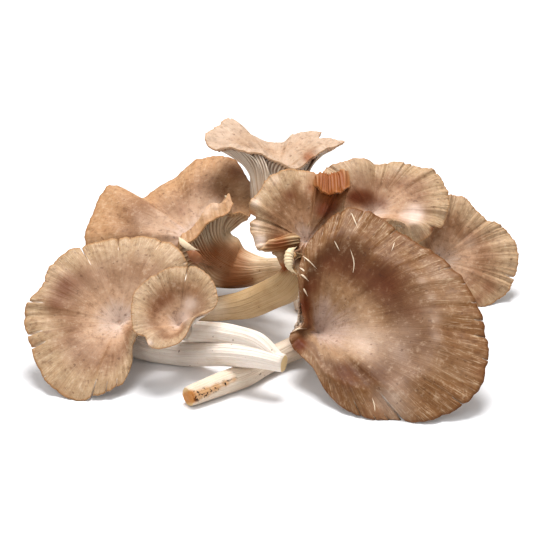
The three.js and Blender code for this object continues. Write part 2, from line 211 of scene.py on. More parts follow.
def smooth_mesh(name, points, faces):
    """A mesh with soft shading, from points in millimetres."""
    mesh = bpy.data.meshes.new(name)
    mesh.from_pydata((np.asarray(points) * MM).tolist(), [], faces)
    mesh.polygons.foreach_set("use_smooth", [True] * len(mesh.polygons))
    return mesh


def placed(name, data):
    """An object of the scene that holds a mesh, a lamp or a camera."""
    thing = bpy.data.objects.new(name, data)
    bpy.context.scene.collection.objects.link(thing)
    return thing


class Mushroom:
    """One cap with its gills and stem, as a closed skin of rings."""

    def __init__(
        self, name, node, slot, seed, skin, rim, eye, stem, dome, curl, ruffle, pleats, flesh,
        gill, throat, ridge=0.0, folds=(), splits=(), tears=10, even=0.5, join_at=0.12,
        stains=(), rust=(), rotten=(),
    ):
        self.name, self.node, self.slot, self.skin = name, node, slot, skin
        self.dome, self.curl, self.ridge = dome, curl, ridge
        self.ruffle, self.pleats = ruffle, pleats
        self.flesh, self.gill, self.throat = flesh, gill, throat
        self.even, self.join_at = even, join_at
        self.stains, self.rust, self.rotten = stains, rust, rotten
        self.points = len(rim)
        self.draw = np.random.default_rng(seed)
        self.waves = self.draw.uniform(0, 2 * math.pi, 24)
        self.stand_columns(splits, tears)
        self.rim = Curve(rim, True).at(self.at % 1)
        self.eye = seen(eye)
        self.scallop()
        self.path = Curve([s[0] for s in stem], False)
        self.radii = np.array([s[1] for s in stem], float)
        arms = self.rim - self.eye
        self.face = unit(-np.cross(arms, np.roll(arms, -1, 0)).sum(0))
        reach = np.linalg.norm(arms, axis=1)
        self.share = np.minimum(MOST_SWELL, reach / reach.mean())
        self.inner = np.clip(self.throat / reach, THROAT_LEAST, THROAT_MOST)
        self.folds = []
        for point, wide, peak, *by, waves in folds:
            way = ACROSS * by[0] + UPWARD * by[1] + TOWARD * by[2]
            self.folds.append((point, wide, peak, way, waves, self.bulk(point, wide)))
        self.edge = np.resize(GILL_EDGE, COLUMNS)

    def stand_columns(self, splits, tears):
        """Shares of the margin where columns stand, and how deep each is cut."""
        found = [(point / self.points, width, depth) for point, width, depth in splits]
        for share in np.sort(self.draw.uniform(0, 1, tears)):
            if all(abs((share - s[0] + 0.5) % 1 - 0.5) > TEARS_APART for s in found):
                width = self.draw.uniform(*TEAR_WIDTHS)
                found.append((share, width, self.draw.uniform(*TEAR_DEPTHS)))
        self.at = np.arange(COLUMNS) / COLUMNS
        self.cut = np.zeros(COLUMNS)
        for share, width, depth in found:
            j = round(share * COLUMNS) % COLUMNS
            self.at[j] = share
            self.at[j - 1] = share - width
            self.at[(j + 1) % COLUMNS] = share + width
            self.cut[j] = depth
        self.found = found

    def apart(self, share):
        """How far each column stands from a share of the margin."""
        return np.abs((self.at - share + 0.5) % 1 - 0.5)

    def scallop(self):
        """Draws the margin in a little at each split, and frays it."""
        w = 2 * math.pi * self.at
        dip = sum(
            SPLIT_DIP * depth * np.exp(-((self.apart(share) / SPLIT_REACH) ** 2))
            for share, _, depth in self.found
        )
        fray = sum(h * np.sin(n * w + self.waves[12 + k]) for k, (n, h) in enumerate(FRAY))
        self.rim = self.rim + (self.rim - self.eye) * (fray - dip)[:, None]

    def bulk(self, point, wide):
        """1 round a margin point, 0 further off than wide points."""
        off = self.at * self.points - point
        d = np.abs(off - self.points * np.round(off / self.points))
        return smooth((wide - d) / (FOLD_SLOPE * wide))

    def pleat(self, r):
        """Height of the pleats at share r of the way to the margin."""
        w = 2 * math.pi * self.at
        a, b, c = self.pleats
        high, mid, low = PLEAT_HEIGHTS
        big = high * np.sin(a * w + 1) + mid * np.sin(b * w + 2) + low * np.sin(c * w)
        small = sum(h * np.sin(n * w + self.waves[k]) for k, (n, h) in enumerate(SMALL_PLEATS))
        group = 0.6 + 0.4 * np.sin(4 * w + self.waves[9])
        return self.ruffle * (r**PLEAT_POWER * big + r**SMALL_POWER * small * group)

    def unrest(self, p, r):
        """Soft swells, 15 to 25 mm from one to the next, over the cap."""
        x, z = p @ ACROSS, p @ UPWARD
        k = self.waves
        swell = np.sin(x / 3.9 + k[5]) * np.sin(z / 3.4 + k[6]) + np.sin(x / 2.3 + z / 3 + k[7])
        return SWELL_HEIGHT * swell * smooth(r / 0.35) * (1 - 0.5 * smooth((r - 0.85) / 0.15))

    def folded(self, r):
        """How far the folds carry the skin at share r of the way to the margin."""
        moved = np.zeros((COLUMNS, 3))
        for point, wide, peak, by, waves, bulk in self.folds:
            rise = np.where(r < peak, smooth(1 - (peak - r) / FOLD_REACH), smooth((1 - r) / (1 - peak)))
            moved += (rise * bulk)[:, None] * by
            ripple = RIPPLE * np.sin(math.pi * waves * (self.at * self.points - point) / wide)
            moved += (ripple * bulk * smooth((r - 0.45) / 0.4))[:, None] * unit(TOWARD + UPWARD * 0.5)
        return moved

    def top(self, r, torn=True):
        """The upper skin at share r of the way from the eye to each column's margin."""
        r = np.broadcast_to(np.asarray(r, float), self.at.shape)
        reach = r
        if torn:
            deep = np.maximum(self.cut, 1e-6)
            run = SPLIT_RUN * deep
            reach = r * (1 - self.cut * smooth((r - 1 + run) / run))
        p = self.eye + (self.rim - self.eye) * reach[:, None]
        dome = self.dome * np.sin(np.pi * r**DOME_POWER)
        ridge = self.ridge * np.exp(-(((r - RIDGE_AT) / RIDGE_WIDE) ** 2))
        curl = self.curl * np.maximum(0, (r - CURL_FROM) / (1 - CURL_FROM)) ** 2
        lift = self.share * (dome + ridge - curl) + self.pleat(r) + self.unrest(p, r)
        return p + self.face * lift[:, None] + self.folded(r)

    def normal(self, r):
        """The way off the upper skin at share r of the way to the margin."""
        r0 = np.maximum(NORMAL_STEP, r - NORMAL_STEP)
        r1 = np.minimum(1.0, r + NORMAL_STEP)
        out = self.top(r1, False) - self.top(r0, False)
        ring = self.top(r, False)
        side = np.roll(ring, -SIDE_STEP, 0) - np.roll(ring, SIDE_STEP, 0)
        return unit(np.cross(side, out))

    def under(self, u):
        """The gilled side, at share u of the way from the throat to the margin."""
        r = self.inner + (1 - self.inner) * u
        flesh = RIM_THICK + (self.flesh - RIM_THICK) * (1 - u) ** FLESH_POWER
        gills = self.gill * GILL_STAND * smooth((GILLS_END - u) / GILLS_RISE) * self.edge
        return self.top(r) - self.normal(r) * (flesh + gills)[:, None]

    def ways(self, side, other):
        """The way round the stem that each column runs down it."""
        arms = self.rim - self.eye
        ways = np.arctan2(arms @ other, arms @ side)
        step = np.roll(ways, -1) - ways
        step -= 2 * np.pi * np.round(step / (2 * np.pi))
        turn = np.concatenate([[0], np.cumsum(step)[:-1]])
        off = ways - 2 * np.pi * self.at
        start = math.atan2(np.sin(off).sum(), np.cos(off).sum())
        even = 1.0 if abs(step.sum() - 2 * np.pi) > 1 else self.even
        e = start + 2 * np.pi * self.at
        a = ways[0] + turn
        a = a + 2 * np.pi * np.round((e - a) / (2 * np.pi))
        return e * even + a * (1 - even)

    def frames(self, into, side, shares):
        """Two directions across the stem at each share, carried on without a twist."""
        a, d, done = side, into, 0.0
        frames = []
        for share in shares:
            for s in np.linspace(done, share, TWIST_STEPS)[1:]:
                e = self.path.along(s)
                a = turned(a, d, e)
                d = e
            done = share
            frames.append((a, unit(np.cross(d, a))))
        return frames

    def stem_rings(self, into, side, way):
        """Rings down the stem, with the gills' ends, cords and knots on it."""
        shares = self.join_at + (1 - self.join_at) * np.linspace(0, 1, STEM_RINGS)
        radius = np.interp(shares * (len(self.radii) - 1), range(len(self.radii)), self.radii)
        k = self.waves
        rings = []
        for share, r, (a, b) in zip(shares, radius, self.frames(into, side, shares)):
            fading = 1 - smooth((share - self.join_at) / STEM_GILLS_RUN)
            ribs = self.gill * STEM_GILLS * fading * self.edge
            cord = sum(
                h * np.sin(turns * way + waves * share + k[i])
                for i, (turns, waves, h) in enumerate(CORDS)
            )
            knot = 0.2 * np.sin(9 * share + k[4]) + 0.12 * np.sin(23 * share + 2 * way + k[8])
            trim = CUT_TRIM if len(rings) == STEM_RINGS - 1 else 1.0
            out = (r * trim + ribs + (cord + knot) * min(1, r / FULL_CORDS))[:, None]
            ring = np.cos(way)[:, None] * a + np.sin(way)[:, None] * b
            rings.append(self.path.at(share) + ring * out)
        return rings

    def throat_rings(self, start, end):
        """Rings on a smooth way from the innermost ring of gills to the stem's first ring."""
        tangent = unit(start - self.under(THROAT_LEAD))
        reach = np.linalg.norm(end - start, axis=1)[:, None] * THROAT_PULL
        p1 = start + tangent * reach
        p2 = end - self.path.along(self.join_at) * reach
        return [
            start * (1 - f) ** 3 + 3 * p1 * f * (1 - f) ** 2 + 3 * p2 * f**2 * (1 - f) + end * f**3
            for f in THROAT_RINGS
        ]

    def cut_rings(self, last, way):
        """Rings over the cut end, which is a little crowned and uneven."""
        end, off = self.path.at(1.0), self.path.along(1.0)
        swell = CUT_SWELL * np.sin(3 * way + self.waves[10])[:, None]
        return [end + (last - end) * f + (CUT_CROWN * (1 - f) + swell * f) * off for f in CUT_RINGS]

    def rings(self):
        """All rings of the skin in groups: top, underside, throat, stem and cut end."""
        into = self.path.along(0.0)
        side = np.cross([0.0, 0.0, 1.0], into)
        if np.linalg.norm(side) < LYING:
            side = np.cross([1.0, 0.0, 0.0], into)
        side = unit(side)
        way = self.ways(side, np.cross(into, side))
        top = [self.top(r) for r in TOP_RINGS]
        under = [self.under(u) for u in UNDER_RINGS]
        stem = self.stem_rings(into, side, way)
        return top, under, self.throat_rings(under[-1], stem[0]), stem, self.cut_rings(stem[-1], way)

    def marks(self, points, parts):
        """Numbers on the skin that its colours follow."""
        n_top, n_under, n_throat, n_stem, n_cut = parts
        rest = n_under + n_throat + n_stem + n_cut
        groove = 1 - self.edge
        stem_run = np.linspace(0, 1, n_stem)
        crack = np.zeros(COLUMNS)
        length = np.full(COLUMNS, 0.01)
        for share, _, depth in self.found:
            hit = np.argmin(self.apart(share))
            crack[hit] = 1.0
            length[hit] = depth
        run, soft = CRACK_RUN * length, CRACK_SOFT * length
        rows = {
            "out": [*TOP_RINGS]
            + [self.inner + (1 - self.inner) * u for u in UNDER_RINGS]
            + [self.inner * (1 - f) for f in THROAT_RINGS]
            + [0.0] * (n_stem + n_cut),
            "below": [0.0] * n_top + [1.0] * rest,
            "down": [0.0] * (n_top + n_under + n_throat) + [*stem_run] + [1.1] * n_cut,
            "stalk": [0.0] * (n_top + n_under)
            + [*smooth(np.linspace(0, 1, n_throat))]
            + [1.0] * (n_stem + n_cut),
            "groove": [0.0] * n_top
            + [groove * smooth((GILLS_END - u) / GILLS_RISE) for u in UNDER_RINGS]
            + [groove] * n_throat
            + [groove * (1 - smooth(x / GROOVES_DOWN)) for x in stem_run]
            + [0.0] * n_cut,
            "crack": [crack * smooth((r - 1 + run) / soft) for r in TOP_RINGS] + [0.0] * rest,
            "turn_x": [np.cos(2 * np.pi * self.at)] * (n_top + rest),
            "turn_y": [np.sin(2 * np.pi * self.at)] * (n_top + rest),
        }
        marks = {}
        for key, row in rows.items():
            flat = np.concatenate([np.broadcast_to(x, COLUMNS) for x in row])
            marks[key] = np.concatenate([flat, [np.mean(row[0]), np.mean(row[-1])]])
        across, down = view_of(points)
        # The dark strokes are partly brown patches of the caps and partly painted shade; the pale ones
        # are partly pale zones and partly painted highlights.
        marks["stain"] = brushed(self.stains, across, down)
        marks["rust"] = brushed(self.rust, across, down)
        marks["rotten"] = brushed(self.rotten, across, down)
        return marks

    def faces(self, rings):
        """Quads between the rings, with a fan over the eye and one over the cut end."""
        j = np.arange(COLUMNS)
        k = (j + 1) % COLUMNS
        base = np.arange(rings - 1)[:, None] * COLUMNS
        quads = np.stack([base + j, base + k, base + k + COLUMNS, base + j + COLUMNS], -1)
        eye = rings * COLUMNS
        last = eye - COLUMNS
        over_eye = np.stack([np.full(COLUMNS, eye), k, j], -1)
        over_cut = np.stack([np.full(COLUMNS, eye + 1), last + j, last + k], -1)
        return quads.reshape(-1, 4).tolist() + over_eye.tolist() + over_cut.tolist()

    def build(self):
        """Makes the piece with its marks and material, and ties it to the solid it replaces."""
        groups = self.rings()
        grid = np.array([ring for group in groups for ring in group])
        centre = self.top(0.0)[0]
        end = self.path.at(1.0) + self.path.along(1.0) * CUT_TIP
        points = np.vstack([grid.reshape(-1, 3), centre, end])
        points[:, 2] = np.maximum(points[:, 2], 0.0)
        self.upper = points[: len(TOP_RINGS) * COLUMNS]
        mesh = smooth_mesh(self.name, points, self.faces(len(grid)))
        for key, values in self.marks(points, [len(group) for group in groups]).items():
            mark = mesh.attributes.new(key, "FLOAT", "POINT")
            mark.data.foreach_set("value", values.astype(np.float32))
        mesh.materials.append(mushroom_skin(self.name + "_skin", **self.skin))
        piece = placed(self.name, mesh)
        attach(piece, "root")
        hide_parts(self.node)

    def laid(self, across, down, lift):
        """The point of the upper skin that a viewer sees there, lifted toward them."""
        x, y = view_of(self.upper)
        near = np.argmin((x - across) ** 2 + (y - down) ** 2)
        return (across, down, (self.upper[near] - MIDDLE) @ TOWARD + lift)


class Wire:
    """A socket of a material. Sums and products of wires add the nodes that work them out."""

    def __init__(self, recipe, socket):
        self.recipe = recipe
        self.socket = socket

    def math(self, operation, first, second):
        return self.recipe.node("ShaderNodeMath", {"operation": operation}, {0: first, 1: second})

    def __add__(self, other):
        return self.math("ADD", self, other)

    def __sub__(self, other):
        return self.math("SUBTRACT", self, other)

    def __rsub__(self, other):
        return self.math("SUBTRACT", other, self)

    def __mul__(self, other):
        return self.math("MULTIPLY", self, other)

    __radd__ = __add__
    __rmul__ = __mul__

    def within(self, low, high):
        """0 below low, 1 above high, smooth between."""
        settings = {"interpolation_type": "SMOOTHSTEP"}
        return self.recipe.node("ShaderNodeMapRange", settings, {0: self, 1: low, 2: high})


class Recipe:
    """A material and the one way in which its nodes are made."""

    def __init__(self, name):
        self.material = bpy.data.materials.new(name)
        self.material.use_nodes = True
        self.tree = self.material.node_tree
        self.tree.nodes.clear()

    def node(self, kind, settings=None, sockets=None, out=0):
        """A node with its settings made first, then its sockets set or linked."""
        made = self.tree.nodes.new(kind)
        for key, value in (settings or {}).items():
            setattr(made, key, value)
        for key, value in (sockets or {}).items():
            if isinstance(value, Wire):
                self.tree.links.new(value.socket, made.inputs[key])
            else:
                made.inputs[key].default_value = value
        return Wire(self, made.outputs[out]) if made.outputs else None

    def mark(self, name):
        """A number that the mesh carries under that name."""
        return self.node("ShaderNodeAttribute", {"attribute_name": name}, out=2)

    def mix(self, a, b, share):
        """Colour a, with a share of colour b over it."""
        return self.node("ShaderNodeMix", {"data_type": "RGBA"}, {0: share, 6: a, 7: b}, out=2)

    def vector(self, x, y, z):
        return self.node("ShaderNodeCombineXYZ", None, {0: x, 1: y, 2: z})

    def noise(self, place, scale, detail=2.0, rough=0.5):
        sockets = {"Vector": place, "Scale": scale, "Detail": detail, "Roughness": rough}
        return self.node("ShaderNodeTexNoise", None, sockets)

    def surface(self, **sockets):
        """The finished material, with the shader's sockets under their own names."""
        named = {
            key.replace("_", " ").title().replace("Ior", "IOR"): value
            for key, value in sockets.items()
        }
        shader = self.node("ShaderNodeBsdfPrincipled", None, named)
        self.node("ShaderNodeOutputMaterial", None, {"Surface": shader})
        return self.material


def tint(text):
    """A colour as a painter writes it, rrggbb, in Blender's own light values."""
    parts = [int(text[i : i + 2], 16) / 255 for i in (0, 2, 4)]
    return (*[((c + 0.055) / 1.055) ** 2.4 if c > 0.04 else c / 12.92 for c in parts], 1.0)


class Skin(Recipe):
    """A mushroom's material, with the marks and the grain that its colours share."""

    def __init__(self, name):
        super().__init__(name)
        self.out, self.below = self.mark("out"), self.mark("below")
        self.down, self.stalk = self.mark("down"), self.mark("stalk")
        self.groove, self.crack = self.mark("groove"), self.mark("crack")
        # The brushed mark holds brown patches, painted shade and painted highlights.
        self.stain, self.rust, self.rotten = self.mark("stain"), self.mark("rust"), self.mark("rotten")
        self.turn_x, self.turn_y = self.mark("turn_x"), self.mark("turn_y")
        self.place = self.node("ShaderNodeTexCoord", out=3)
        self.cloud = self.noise(self.place, 60.0, 4.0, 0.6)
        self.grain = self.noise(self.place, 1100.0, 2.0, 0.6)
        self.specks = self.noise(self.place, 420.0, 1.0, 0.4)
        self.broad = self.drawn_out(9.0, self.out * 1.2, 3.0)
        self.streak = self.drawn_out(40.0, self.out * 3.0, 4.0, 0.65)
        self.hair = self.drawn_out(95.0, self.out * 9.0, 3.0, 0.7)
        self.fibre = self.drawn_out(22.0, self.down * 1.6, 5.0, 0.65)

    def drawn_out(self, round_cap, run, detail, rough=0.5):
        """Noise that is fine round the cap or stem and long along the run."""
        place = self.vector(self.turn_x * round_cap, self.turn_y * round_cap, run)
        return self.noise(place, 1.0, detail, rough)

    def bright(self, strength):
        """The brushed places that come out below 0: pale zones of the flesh and painted highlights."""
        return (self.stain * -1.0).within(0.0, 1.2) * strength

    def cap(self, eye, middle, ring, outer, rim, streaks):
        """Rings of colour from eye to margin, then streaks, felt, brown patches and painted shade, pale
        zones and painted highlights, specks and cracks.
        """
        out, streak, hair = self.out, self.streak, self.hair
        band = self.drawn_out(17.0, out * 1.8, 4.0, 0.6)
        felt = self.noise(self.place, 330.0, 5.0, 0.7)
        blotch = self.noise(self.place, 23.0)
        way_out = out + (self.cloud - 0.5) * 0.2 + (self.broad - 0.5) * 0.2
        cap = self.mix(tint(eye), tint(middle), way_out.within(0.05, 0.32))
        cap = self.mix(cap, tint(ring), way_out.within(0.3, 0.55))
        cap = self.mix(cap, tint(outer), way_out.within(0.55, 0.85))
        pale_bands = band.within(0.48, 0.72) * out.within(0.4, 0.9) * 0.22 * streaks
        cap = self.mix(cap, tint("e6d2bc"), pale_bands)
        dark_bands = band.within(0.5, 0.3) * out.within(0.2, 0.6) * 0.16 * streaks
        cap = self.mix(cap, tint("7c5a42"), dark_bands)
        cap = self.mix(cap, tint("704a2c"), felt.within(0.5, 0.68) * 0.34)
        cap = self.mix(cap, tint("f0dfcc"), felt.within(0.48, 0.32) * 0.26)
        cap = self.mix(cap, tint("cfb9a6"), blotch.within(0.48, 0.66) * 0.3)
        dark_streaks = streak.within(0.48, 0.72) * out.within(0.2, 0.7) * 0.22 * streaks
        cap = self.mix(cap, tint("7a5235"), dark_streaks)
        pale_hairs = hair.within(0.52, 0.7) * out.within(0.6, 0.95) * 0.5 * streaks
        cap = self.mix(cap, tint("f0dfc8"), pale_hairs)
        cap = self.mix(cap, tint(rim), out.within(0.965, 0.998) * 0.6)
        # Brown over the dark strokes, partly real patches and partly painted shade; a pale colour over
        # the pale strokes, partly painted highlight.
        cap = self.mix(cap, tint("854d1f"), self.stain.within(0.0, 1.2) * (self.cloud * 0.7 + 0.6))
        cap = self.mix(cap, tint("f6e6dc"), self.bright(self.broad * 0.6 + 0.5))
        cap = self.mix(cap, tint("6a4630"), self.specks.within(0.7, 0.76) * 0.35)
        cap = self.mix(cap, tint("6b4830"), self.grain.within(0.6, 0.8) * 0.16)
        return self.mix(cap, tint("fbf3ea"), self.crack)

    def gills(self, flank, rim):
        """Creamy gills with painted shade in the grooves between them, browner toward the margin."""
        # The dark brown in the grooves is painted shade.
        gills = self.mix(tint(flank), tint("7d5530"), self.groove * 0.75)
        return self.mix(gills, tint(rim), self.out.within(0.86, 1.0) * 0.6)

    def stem(self, flank, shade):
        """Fibres, the rotten patch and the granular cut end, which starts at down 1."""
        down, rotten = self.down, self.rotten
        stem = self.mix(tint(flank), tint(shade), self.fibre.within(0.42, 0.72) * 0.7)
        stem = self.mix(stem, tint(shade), self.cloud.within(0.4, 0.75) * 0.45)
        patch = (rotten + (self.cloud - 0.5) * 0.8).within(0.25, 0.75) * rotten.within(0.0, 0.2)
        mould = self.noise(self.place, 600.0, 3.0).within(0.54, 0.62)
        stem = self.mix(stem, tint("d99c3c"), patch * 0.5)
        stem = self.mix(stem, tint("3d2512"), patch * mould)
        stem = self.mix(stem, tint("ecd3a4"), down.within(1.0, 1.06) * 0.85)
        stem = self.mix(stem, tint("d08c34"), down.within(0.97, 1.0) * rotten.within(0.2, 0.8) * 0.7)
        return self.mix(stem, tint("7d5a38"), self.specks.within(0.72, 0.78) * 0.5)

    def relief(self):
        """Fine unevenness: streaks on the cap, fibres on the stem, grain on both."""
        on_cap = (self.streak * 0.5 + self.hair * 0.35 + self.cloud * 0.4) * (1 - self.below)
        height = on_cap + self.fibre * self.stalk * 0.9 + self.grain * 0.15
        sockets = {"Strength": 0.55, "Distance": 0.0007, "Height": height}
        return self.node("ShaderNodeBump", None, sockets)


def mushroom_skin(name, eye, middle, ring, outer, rim, flank, shade, streaks=1.0):
    """Cap skin above, gills, stem and cut end below, with brown patches, painted shade, painted
    highlights and rust over them.
    """
    skin = Skin(name)
    cap = skin.cap(eye, middle, ring, outer, rim, streaks)
    low = skin.mix(skin.gills(flank, rim), skin.stem(flank, shade), skin.stalk)
    # Brown patches and painted shade below the caps, then pale zones and painted highlights.
    low = skin.mix(low, tint("8a5a2e"), skin.stain.within(0.0, 1.2) * 0.85)
    low = skin.mix(low, tint("fff6ec"), skin.bright(0.8))
    colour = skin.mix(cap, low, skin.below)
    colour = skin.mix(colour, tint("a8692e"), skin.rust.within(0.0, 1.0) * (skin.cloud * 0.6 + 0.5))
    return skin.surface(
        base_color=skin.node("ShaderNodeGamma", None, {"Color": colour, "Gamma": 1.5}),
        normal=skin.relief(), roughness=skin.cloud * 0.2 + 0.42, specular_ior_level=0.25,
        subsurface_weight=0.1, subsurface_radius=(0.9, 0.5, 0.3), subsurface_scale=0.002,
    )


TAN = dict(
    eye="e2cfc2", middle="d0b298", ring="ae8c6e", outer="c6ad90", rim="bf9668", flank="eedfc8",
    shade="c8a477",
)
WHITE_STEM = dict(TAN, flank="f8f0e8", shade="dccab6")
OLD_TAN = dict(TAN, outer="c9a785", shade="a9804e", streaks=0.5)
DARK_STEM = dict(TAN, middle="c2a184", ring="a17f60", flank="dfc9a8", shade="b8925f")
BROWN = dict(
    eye="d2bdb2", middle="b89877", ring="85603d", outer="9c7750", rim="8d6236", flank="f2e6d8",
    shade="d4bca2",
)
PALE = dict(
    eye="d6c2b2", middle="d2bda9", ring="cab19a", outer="ceb9a6", rim="cbaa88", flank="f4e8da",
    shade="b98f5e", streaks=0.6,
)
